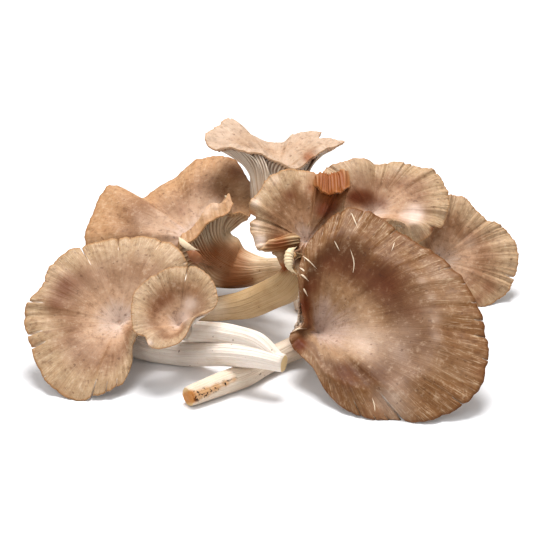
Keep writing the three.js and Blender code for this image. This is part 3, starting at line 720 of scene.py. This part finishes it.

# Each cap's dark and pale strokes are (across, down, size, strength): above 0 they darken, below 0 they
# lighten. They hold the caps' own brown patches and pale zones together with painted shade in hollows,
# under folds and under stems, and painted highlights on ridges, lobes and lips.
heap = [
    Mushroom(
        "twin_big", "twin_left", "flesh_tan", 11, WHITE_STEM,
        rim=[
            (78, 401, 0, 0.2), (56, 389, 38), (44, 378, 35), (30, 347, 27), (24, 322, 21),
            (26, 302, 17), (42, 284, 12), (46, 270, 9), (56, 258, 5), (76, 246, 1), (96, 240, -1),
            (116, 237, -3), (137, 235, -3), (160, 237, -1), (178, 247, 2), (188, 264, 5),
            (186, 284, 9), (174, 304, 12), (154, 320, 16), (141, 331, 20), (133, 345, 26),
            (132, 361, 32), (125, 379, 37), (110, 390, 40), (94, 394, 42),
        ],
        eye=(120, 325, 9), dome=4, curl=1.5, ruffle=1.3, pleats=(9, 14, 21), flesh=4, gill=0.9,
        throat=12, tears=14,
        splits=[
            (9.2, 0.0022, 0.2), (5.1, 0.002, 0.12), (3.5, 0.002, 0.12), (24.2, 0.0025, 0.14),
            (11.1, 0.0013, 0.12), (13.1, 0.0012, 0.1), (3.0, 0.0015, 0.12), (23.3, 0.0015, 0.1),
            (6.3, 0.0012, 0.06), (22.6, 0.0015, 0.08),
        ],
        stains=[
            (64, 286, 13, 0.8), (54, 304, 13, 0.6), (84, 276, 14, 0.4), (104, 347, 10, 0.3),
            (45, 335, 12, 0.2), (75, 352, 20, -0.25), (118, 322, 15, -0.3),
        ],
        rust=[(60, 395, 12, 0.3), (110, 385, 12, 0.2), (33, 345, 8, 0.3)],
        stem=[
            ((121, 327, 4), 8), ((130, 338, -1), 7.5), ((152, 348, 0, 7.2), 6.8),
            ((181, 353, 7), 6.2), ((206, 354, 16), 6), ((232, 354, 30), 5.7),
            ((258, 357, 38), 5.3), ((284, 363.5, 43), 4.4),
        ],
    ),
    Mushroom(
        "twin_small", "twin_left", "flesh_tan", 23, WHITE_STEM,
        rim=[
            (131, 318, 32), (131, 303, 28), (134, 291, 25), (143, 281, 23), (156, 273, 22),
            (172, 266, 22), (184, 265, 23), (197, 266, 24), (209, 275, 27), (216, 288, 30),
            (217, 302, 33), (208, 311, 34), (195, 316, 34), (190, 325, 34), (185, 335, 37),
            (176, 343, 40), (160, 348, 43), (149, 345, 43), (144, 335, 40), (134, 331, 36),
        ],
        eye=(179, 326, 23), dome=2, curl=1, ruffle=0.7, pleats=(5, 9, 13), flesh=3, gill=0.6,
        throat=5, tears=5, splits=[(6.3, 0.005, 0.2), (4.0, 0.0013, 0.06)],
        # On the small cap the dark strokes on the hollow's upper wall are painted shade, the pale ones
        # on its right wall painted light.
        stains=[
            (170, 297, 8, 0.5), (160, 302, 8, 0.5), (156, 312, 7, 0.4), (190, 304, 9, -0.8),
            (184, 318, 7, -0.7),
            (165, 336, 8, 0.25), (150, 343, 4, -0.8), (145, 320, 8, -0.2),
        ],
        stem=[
            ((180, 327, 20), 5), ((187, 331, 15), 4.8), ((206, 332, 17), 5), ((232, 335, 28), 5),
            ((258, 342.5, 36.5), 4.8), ((279, 360, 42), 3.2),
        ],
    ),
    Mushroom(
        "front_brown", "front_right", "flesh_brown", 37, BROWN,
        rim=[
            (393, 421, 0, 0.2), (368, 417, 59), (346, 409, 54), (326, 391, 47), (312, 367, 39),
            (300, 355, 34), (291, 344, 31), (290, 333, 29), (304, 325, 27), (302, 312, 27),
            (299, 295, 26), (298, 275, 24), (303, 250, 21), (315, 231, 19), (333, 213, 17),
            (353, 206, 17), (383, 217, 19), (410, 237, 23), (438, 253, 27), (460, 274, 32),
            (478, 303, 39), (487, 335, 46), (488, 362, 52), (474, 395, 58), (452, 410, 61),
            (422, 420, 63),
        ],
        eye=(318, 333, 15), dome=8, ridge=2.5, curl=2, ruffle=1, pleats=(7, 12, 17), flesh=4.5,
        gill=1, throat=11, tears=40,
        splits=[
            (25.6, 0.003, 0.17), (12, 0.0015, 0.1), (1.3, 0.0015, 0.1), (10.4, 0.0012, 0.08),
            (11.2, 0.0012, 0.08), (9.6, 0.0012, 0.07), (23.5, 0.001, 0.05), (15.4, 0.001, 0.08),
            (13.5, 0.001, 0.1), (14.4, 0.001, 0.1),
        ],
        # On the front cap the dark band under the top margin and in the hollow is partly brown of its
        # own, partly painted shade; the pale strokes on the ridge, the hollow's floor and the low part
        # of the cap are painted highlights and painted light.
        stains=[
            (385, 282, 22, 0.7), (350, 268, 20, 0.5), (328, 262, 15, 0.5), (312, 287, 11, 0.8),
            (305, 306, 9, 1.2), (309, 322, 8, 0.7),
            (415, 312, 16, 0.4), (345, 370, 12, 0.4), (380, 374, 18, 0.3), (299, 344, 9, 0.8),
            (450, 350, 16, 0.2), (330, 339, 13, -0.1), (365, 342, 22, -0.6), (402, 348, 14, -0.3),
            (390, 396, 26, -0.6), (434, 318, 9, -0.45), (430, 297, 8, -0.45), (437, 338, 9, -0.45),
            (422, 280, 8, -0.4), (350, 224, 12, -0.2), (350, 385, 14, 0.4), (300, 345, 6, 0.6),
        ],
        rust=[(482, 370, 12, 0.3), (330, 400, 16, 0.25), (372, 415, 16, 0.25)],
        rotten=[
            (188, 397, 7, 1.0), (196, 396, 6, 0.9), (206, 392, 6, 0.9), (216, 387.5, 5, 0.9),
            (226, 383, 5, 0.8), (235, 379, 4, 0.7),
        ],
        stem=[
            ((317, 334, 11), 7.5), ((306, 343, 5), 6.4), ((284, 353, 0, 6.4), 5.9),
            ((264, 364, 0, 5.5), 5.8), ((244, 375.5, 0, 5.2), 5.5), ((216, 386, 0, 5.2), 5.5),
            ((188, 397, 0, 4.7), 4.8),
        ],
    ),
    Mushroom(
        "centre_pleated", "centre_ruffled", "flesh_tan", 41, DARK_STEM,
        rim=[
            (284, 271, 9.5), (280, 264, 9.5), (277, 257, 10), (272, 252, 10.5), (273, 244, 9.5),
            (266, 244, 11), (258, 249, 12.5), (254, 240, 11), (250, 229, 10), (250, 222, 8.5),
            (256, 217, 6.5), (250.5, 212, 8), (249, 203, 7), (254, 196, 6), (261, 188, 4),
            (265, 180, 2), (272, 174, 0), (283, 170, -2.5), (295, 168, -5), (306, 170, -6),
            (315, 172, -5), (317, 181, 1), (318, 189, 7), (326, 193, 9), (334, 194, 9.5),
            (342, 192, 9), (350, 187, 5), (346, 199, 4), (343, 215, 6), (336, 235, 9),
            (322, 252, 12), (308, 264, 12), (300, 277, 13), (296, 269, 15), (294, 261, 16),
            (295, 256, 15), (290, 263, 11.5),
        ],
        eye=(306, 242, -1), dome=3, curl=1, ruffle=1.4, pleats=(9, 15, 22), flesh=3.5, gill=0.8,
        throat=9, tears=6,
        folds=[(24, 3.4, 0.84, 1.5, 12.5, -8.5, 6), (34, 2.4, 0.84, -4.2, 0, -3, 3)],
        # On the centre cap the dark strokes under the curled frill are painted shadow; the pale ones on
        # the lobes are partly painted highlight.
        stains=[
            (290, 195, 8, 0.7), (297, 183, 5, 0.45), (310, 188, 4, 0.6), (332, 204, 10, 1.1),
            (322, 211, 9, 0.9), (287, 252, 8, 0.4), (284, 268, 6, 0.9), (276, 246, 4, 0.6),
            (260, 241, 7, -1.1), (256, 202, 6, -0.7), (257, 225, 6, -0.6), (275, 180, 6, -0.5),
            (292, 262, 5, -0.8), (284, 243, 8, 0.5), (214, 308, 18, -0.6),
        ],
        rust=[
            (332, 184, 21, 1.3), (284, 267, 7, 0.8), (252, 213, 5, 0.6), (281, 243, 9, 0.8),
            (270, 247, 6, 0.5),
        ],
        stem=[
            ((306, 245, -6), 9), ((303, 262, -9), 8.5), ((290, 284, -11), 8), ((270, 295, -18), 7.9),
            ((248, 304, -26), 7.8), ((226, 307.5, -33), 6.4), ((200, 311, 0, 4.8), 5.6),
        ],
    ),
    Mushroom(
        "trumpet", "top_trumpet", "flesh_pale", 53, PALE,
        rim=[
            (205, 135, -45), (209, 129, -50), (217, 125, -54), (225, 117, -58), (233, 118, -61),
            (243, 127, -62), (256, 135, -64), (272, 141, -65), (284, 141, -65), (294, 132, -66),
            (309, 129, -66), (321, 131, -62), (319, 136, -57), (332, 137, -53), (345, 139, -48),
            (334, 146, -44), (320, 151, -39), (311, 157, -36), (301, 166, -34), (290, 167, -33),
            (275, 159, -32), (262, 153, -33), (244, 150, -34), (228, 146, -35), (216, 147, -38),
            (207, 142, -42),
        ],
        eye=(278, 172, -48), dome=2, curl=0.8, ruffle=0.8, pleats=(7, 12, 19), flesh=3.5, gill=1,
        throat=21, join_at=0.16, tears=3,
        folds=[(22.5, 3.2, 0.88, 0, 2.4, -1.5, 4), (17, 3, 0.88, 0, 1.6, -1, 3)],
        stains=[(306, 157, 6, 0.5), (313, 151, 6, 0.4), (300, 145, 10, -0.2), (225, 135, 12, -0.25)],
        rust=[(309, 158, 7, 0.7), (262, 188, 9, 0.3)],
        stem=[
            ((278, 176, -48), 19), ((281, 198, -47), 14), ((287, 225, -47), 9), ((297, 258, -48), 7),
            ((306, 290, -50), 7.4), ((309, 307, 0, 0.6), 7.6),
        ],
    ),
    Mushroom(
        "broad_back", "back_left", "flesh_tan", 67, OLD_TAN,
        rim=[
            (84, 240, -45), (88, 222, -50), (97, 199, -57), (107, 185, -62), (117, 184, -63),
            (131, 191, -62), (142, 196, -60), (155, 188, -63), (175, 176, -67), (190, 162, -70),
            (207, 156, -71), (221, 155, -70), (234, 158, -68), (244, 172, -62), (252, 188, -56),
            (252, 204, -48), (249, 215, -41), (240, 211, -34), (232, 213, -28), (233, 202, -22),
            (226, 213, -16), (216, 217, -12), (207, 222, -11), (200, 230, -10), (193, 239, -9),
            (186, 243, -9), (179, 240, -11), (177, 256, -15), (172, 280, -22), (155, 302, -34),
            (130, 308, 0, 0.2), (105, 288, -46), (89, 262, -46),
        ],
        eye=(197, 240, -39), dome=4, curl=1, ruffle=0.8, pleats=(4, 9, 15), flesh=4, gill=1,
        throat=19, even=0.8, join_at=0.22, tears=2,
        folds=[(20, 2.6, 0.86, 0.5, 7, -3, 2), (23.5, 3.2, 0.86, -1, 5, -3, 3)],
        # On the broad cap the strong dark stroke at (232, 285) is painted shade under the cone-shaped
        # stem, and the pale one on the lip at (215, 204) a painted highlight.
        stains=[
            (235, 172, 13, 0.6), (186, 206, 9, 0.35), (180, 213, 5, 0.3), (130, 214, 14, 0.2),
            (206, 252, 9, 0.35), (232, 285, 17, 1.3), (250, 280, 8, 0.5), (215, 204, 8, -0.5),
            (160, 228, 12, -0.2), (205, 212, 6, -0.5),
        ],
        rust=[
            (236, 222, 7, 0.4), (210, 256, 17, 0.7), (234, 262, 20, 0.8), (195, 257, 7, 0.8),
            (150, 205, 20, 0.2),
        ],
        stem=[
            ((202, 246, -39), 17), ((219, 259, -38), 14.8), ((236, 267.5, -38), 11.2),
            ((253, 269.5, -35.5), 7.8), ((268, 268, -31.5), 5.3), ((282, 266, -28), 4.4),
            ((295, 267, -28), 4.2),
        ],
    ),
    Mushroom(
        "pleated_back", "right_back", "flesh_tan", 71, TAN,
        rim=[
            (321, 178, -38), (327, 166, -40), (335, 162, -42), (348, 158.5, -47), (362, 157.5, -51),
            (374, 160, -54), (383, 163, -55), (393, 160.5, -57), (404, 161, -58), (416, 163, -59),
            (428, 167, -58.5), (438, 170.5, -57), (444, 179, -54), (449, 190, -51),
            (450.5, 202, -47), (448, 213, -43.5), (443, 225, -40), (435, 227, -38), (431, 234, -34),
            (423, 239, -31.5), (413, 239, -29.5), (404, 235, -29), (393, 230, -28), (376, 232, -28),
            (355, 230, -29), (338, 219, -32), (325, 200, -35),
        ],
        eye=(371, 215, -47), dome=3.5, curl=1.5, ruffle=1.5, pleats=(8, 13, 19), flesh=3.5,
        gill=0.8, throat=11, tears=6, splits=[(17, 0.002, 0.12)],
        folds=[(20, 3.4, 0.72, 1, 3, 5, 3)],
        # On the pleated cap the dark strokes in the hollow and the notch at (433, 229) are painted
        # shade, and the pale one at (415, 214) a painted highlight on the rolled lobe.
        stains=[
            (366, 198, 11, 1.1), (352, 196, 10, 0.8), (383, 203, 9, 0.6), (433, 229, 4, 1.0),
            (400, 186, 6, 0.3), (415, 214, 11, -1.2), (402, 216, 6, -0.4), (426, 180, 12, 0.25),
            (398, 170, 6, -0.3),
        ],
        rust=[(425, 236, 7, 0.4)],
        stem=[
            ((371, 218, -52), 8), ((371, 242, -56), 7), ((372, 274, -51), 6.6),
            ((372, 303, 0, 7.4), 6.5), ((373, 324, 0, 6.2), 6.5),
        ],
    ),
    Mushroom(
        "far_tan", "far_right", "flesh_tan", 83, TAN,
        rim=[
            (414, 262, -60), (416, 240, -64), (424, 222, -67), (436, 205, -69.5), (447, 195, -70.5),
            (457, 194, -71), (466, 197, -71), (472, 204, -70.5), (479, 211, -70), (488, 219, -70),
            (497, 222, -69.5), (506, 228, -69), (513, 236, -68), (518, 247, -66), (519, 260, -64),
            (516, 275, -62), (512.5, 284, -61), (508, 292, -59.5), (500, 298, -58.5),
            (488, 305, 0, 1.2), (470, 308, -56), (446, 302, -55), (428, 288, -57),
        ],
        eye=(437, 262, -74), dome=4, curl=1.5, ruffle=1.3, pleats=(7, 11, 17), flesh=3, gill=0.8,
        throat=10, tears=5, splits=[(15.2, 0.004, 0.08)],
        stains=[
            (475, 226, 7, 0.3), (490, 287, 10, 0.7), (446, 226, 11, 0.2), (440, 242, 10, 0.15),
            (477, 300, 8, 0.6), (470, 242, 10, -0.4), (500, 240, 6, -0.2),
        ],
        stem=[
            ((436, 263, -78), 7.5), ((427, 268, -81), 6.6), ((416, 275, 0, 7.5), 6),
            ((404, 279, 0, 6.6), 5.6), ((392, 283, 0, 6), 5.8),
        ],
    ),
]
for grown in heap:
    grown.build()

# Torn bits of flesh, each a strip along its points: (points, half width, half thickness). Those of
# FRONT_SHREDS have no depth of their own, as they lie on the front cap.
SHREDS = [
    ([(178, 236, -4), (183, 243, -1), (190, 247.5, 0), (200, 250.5, 0)], 1.5, 0.45),
]
FRONT_SHREDS = [
    ([(302, 255.5), (309, 261), (318, 270)], 0.3, 0.3),
    ([(299.5, 267.5), (303, 270), (307, 273.5)], 0.4, 0.3),
    ([(300.3, 274), (304, 276.5), (309, 281.5)], 0.4, 0.3),
    ([(301, 286), (304.5, 290.5), (308, 297)], 0.4, 0.3),
    ([(292, 332), (299, 328.5), (308, 329)], 0.4, 0.3),
    ([(334, 240), (337, 246), (340, 252)], 0.22, 0.2),
    ([(350, 210), (354, 219), (359, 231)], 0.25, 0.2),
    ([(350, 248), (354, 263), (352, 279)], 0.25, 0.2),
    ([(395, 241), (393, 247), (391, 253)], 0.2, 0.2),
    ([(372, 397), (374.5, 406), (375, 414)], 0.25, 0.2),
]
ROLLED = [
    ([(297, 246.5, 15), (290, 252, 17), (288.5, 260, 18), (290, 268, 18.5), (298, 275, 18)], 2.1, 1.9),
]
# The red-brown bit is the underside below the torn curl; its dark colour is partly painted shade.
BROWN_BIT = [([(186, 251, -6), (193, 255, -5), (199, 260, -6), (203, 263, -8)], 2.6, 0.9)]

# Strips: ribs along a rolled one, shares of the run over which both ends taper, how full a tip is.
# Those on the front cap are lifted off its skin by SHRED_LIFT millimetres.
RIBS_ALONG = 11
TAPERS = (0.3, 0.45)
TIP = 0.02
SHRED_LIFT = 0.1


def strip(path, wide, thick, ribs, along, around):
    """Rings of points along a path, thin at both ends."""
    curve = Curve(path, False)
    points = []
    for n in range(along + 1):
        share = n / along
        way = curve.along(share)
        flat = unit(np.cross(way, TOWARD))
        deep = unit(np.cross(flat, way))
        full = smooth(min(share / TAPERS[0], (1 - share) / TAPERS[1])) + TIP
        full *= 1 + ribs * math.sin(2 * math.pi * RIBS_ALONG * share)
        for i in range(around):
            turn = 2 * math.pi * i / around
            out = flat * wide * math.cos(turn) + deep * thick * math.sin(turn)
            points.append(curve.at(share) + out * full)
    return points


def torn_flesh(name, colour):
    """Matt flesh with a fine brown mottle."""
    m = Recipe(name + "_flesh")
    felt = m.noise(m.node("ShaderNodeTexCoord", out=3), 500.0, 3.0)
    shade = m.mix(tint(colour), tint("a87d55"), felt.within(0.5, 0.75) * 0.4)
    return m.surface(base_color=shade, roughness=0.5)


def shreds(name, strips, colour, ribs=0.0, along=24, around=16):
    """Closed strips that taper to both ends, in one mesh."""
    points, faces = [], []
    for path, wide, thick in strips:
        first = len(points)
        points += strip(path, wide, thick, ribs, along, around)
        for n in range(along):
            for i in range(around):
                a = first + n * around + i
                b = first + n * around + (i + 1) % around
                faces.append((a, b, b + around, a + around))
        faces.append(tuple(first + i for i in reversed(range(around))))
        faces.append(tuple(first + along * around + i for i in range(around)))
    mesh = smooth_mesh(name, points, faces)
    mesh.materials.append(torn_flesh(name, colour))
    piece = placed(name, mesh)
    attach(piece, "root")


front = next(grown for grown in heap if grown.name == "front_brown")
laid = [
    ([front.laid(x, y, SHRED_LIFT) for x, y in path], wide, thick)
    for path, wide, thick in FRONT_SHREDS
]
shreds("torn_white", SHREDS, "e4cba8", ribs=0.08, along=48)
shreds("front_shreds", laid, "ecd5b8")
shreds("rolled_margin", ROLLED, "e6cfa8", ribs=0.07, along=66)
shreds("red_bit", BROWN_BIT, "925a34")


# Room, in metres: the table's half width and how far it lies below the heap, and the lamps' aim.
TABLE_HALF = 6.0
TABLE_DROP = 0.0002
HEAP_CORE = (0, 0, 0.03)
ROOM_LIGHT = 0.5
SENSOR = 36.0


def table_top():
    """A wide white glossy surface that the heap lies on."""
    mesh = bpy.data.meshes.new("table_top")
    corners = [(TABLE_HALF * x, TABLE_HALF * y, 0) for x, y in ((-1, -1), (1, -1), (1, 1), (-1, 1))]
    mesh.from_pydata(corners, [], [(0, 1, 2, 3)])
    mesh.materials.append(Recipe("white_gloss").surface(base_color=tint("f6f6f8"), roughness=0.1))
    table = placed("table_top", mesh)
    table.location.z = -TABLE_DROP


def soft_light(name, place, size, power):
    """A round lamp, in metres and watts, that points at the heap."""
    data = bpy.data.lights.new(name, "AREA")
    data.shape = "DISK"
    data.size = size
    data.energy = power
    lamp = placed(name, data)
    lamp.location = place
    x, y, z = np.array(place) - np.array(HEAP_CORE)
    lamp.rotation_euler = (math.atan2(math.hypot(x, y), z), 0, math.atan2(x, -y))


def white_room():
    """Even white light from all round."""
    world = bpy.data.worlds.new("white_room")
    world.use_nodes = True
    light = world.node_tree.nodes["Background"].inputs
    light["Color"].default_value = (1, 1, 1, 1)
    light["Strength"].default_value = ROOM_LIGHT
    bpy.context.scene.world = world
    bpy.context.scene.view_settings.view_transform = "Standard"


def viewer():
    """The camera, from which the outlines lie where their across and down say."""
    data = bpy.data.cameras.new("viewer")
    data.sensor_width = SENSOR
    data.lens = SENSOR * SIGHT / (2 * VIEW_MIDDLE * VIEW_UNIT)
    data.clip_end = 30.0
    camera = placed("viewer", data)
    camera.location = (MIDDLE + TOWARD * SIGHT) * MM
    camera.rotation_euler = (math.pi / 2 - LOOK_DOWN, 0, 0)
    bpy.context.scene.camera = camera


table_top()
soft_light("overhead", (0.0, 0.2, 1.1), 0.6, 16.5)
soft_light("front", (-0.5, -0.9, 0.9), 0.6, 3.0)
white_room()
viewer()
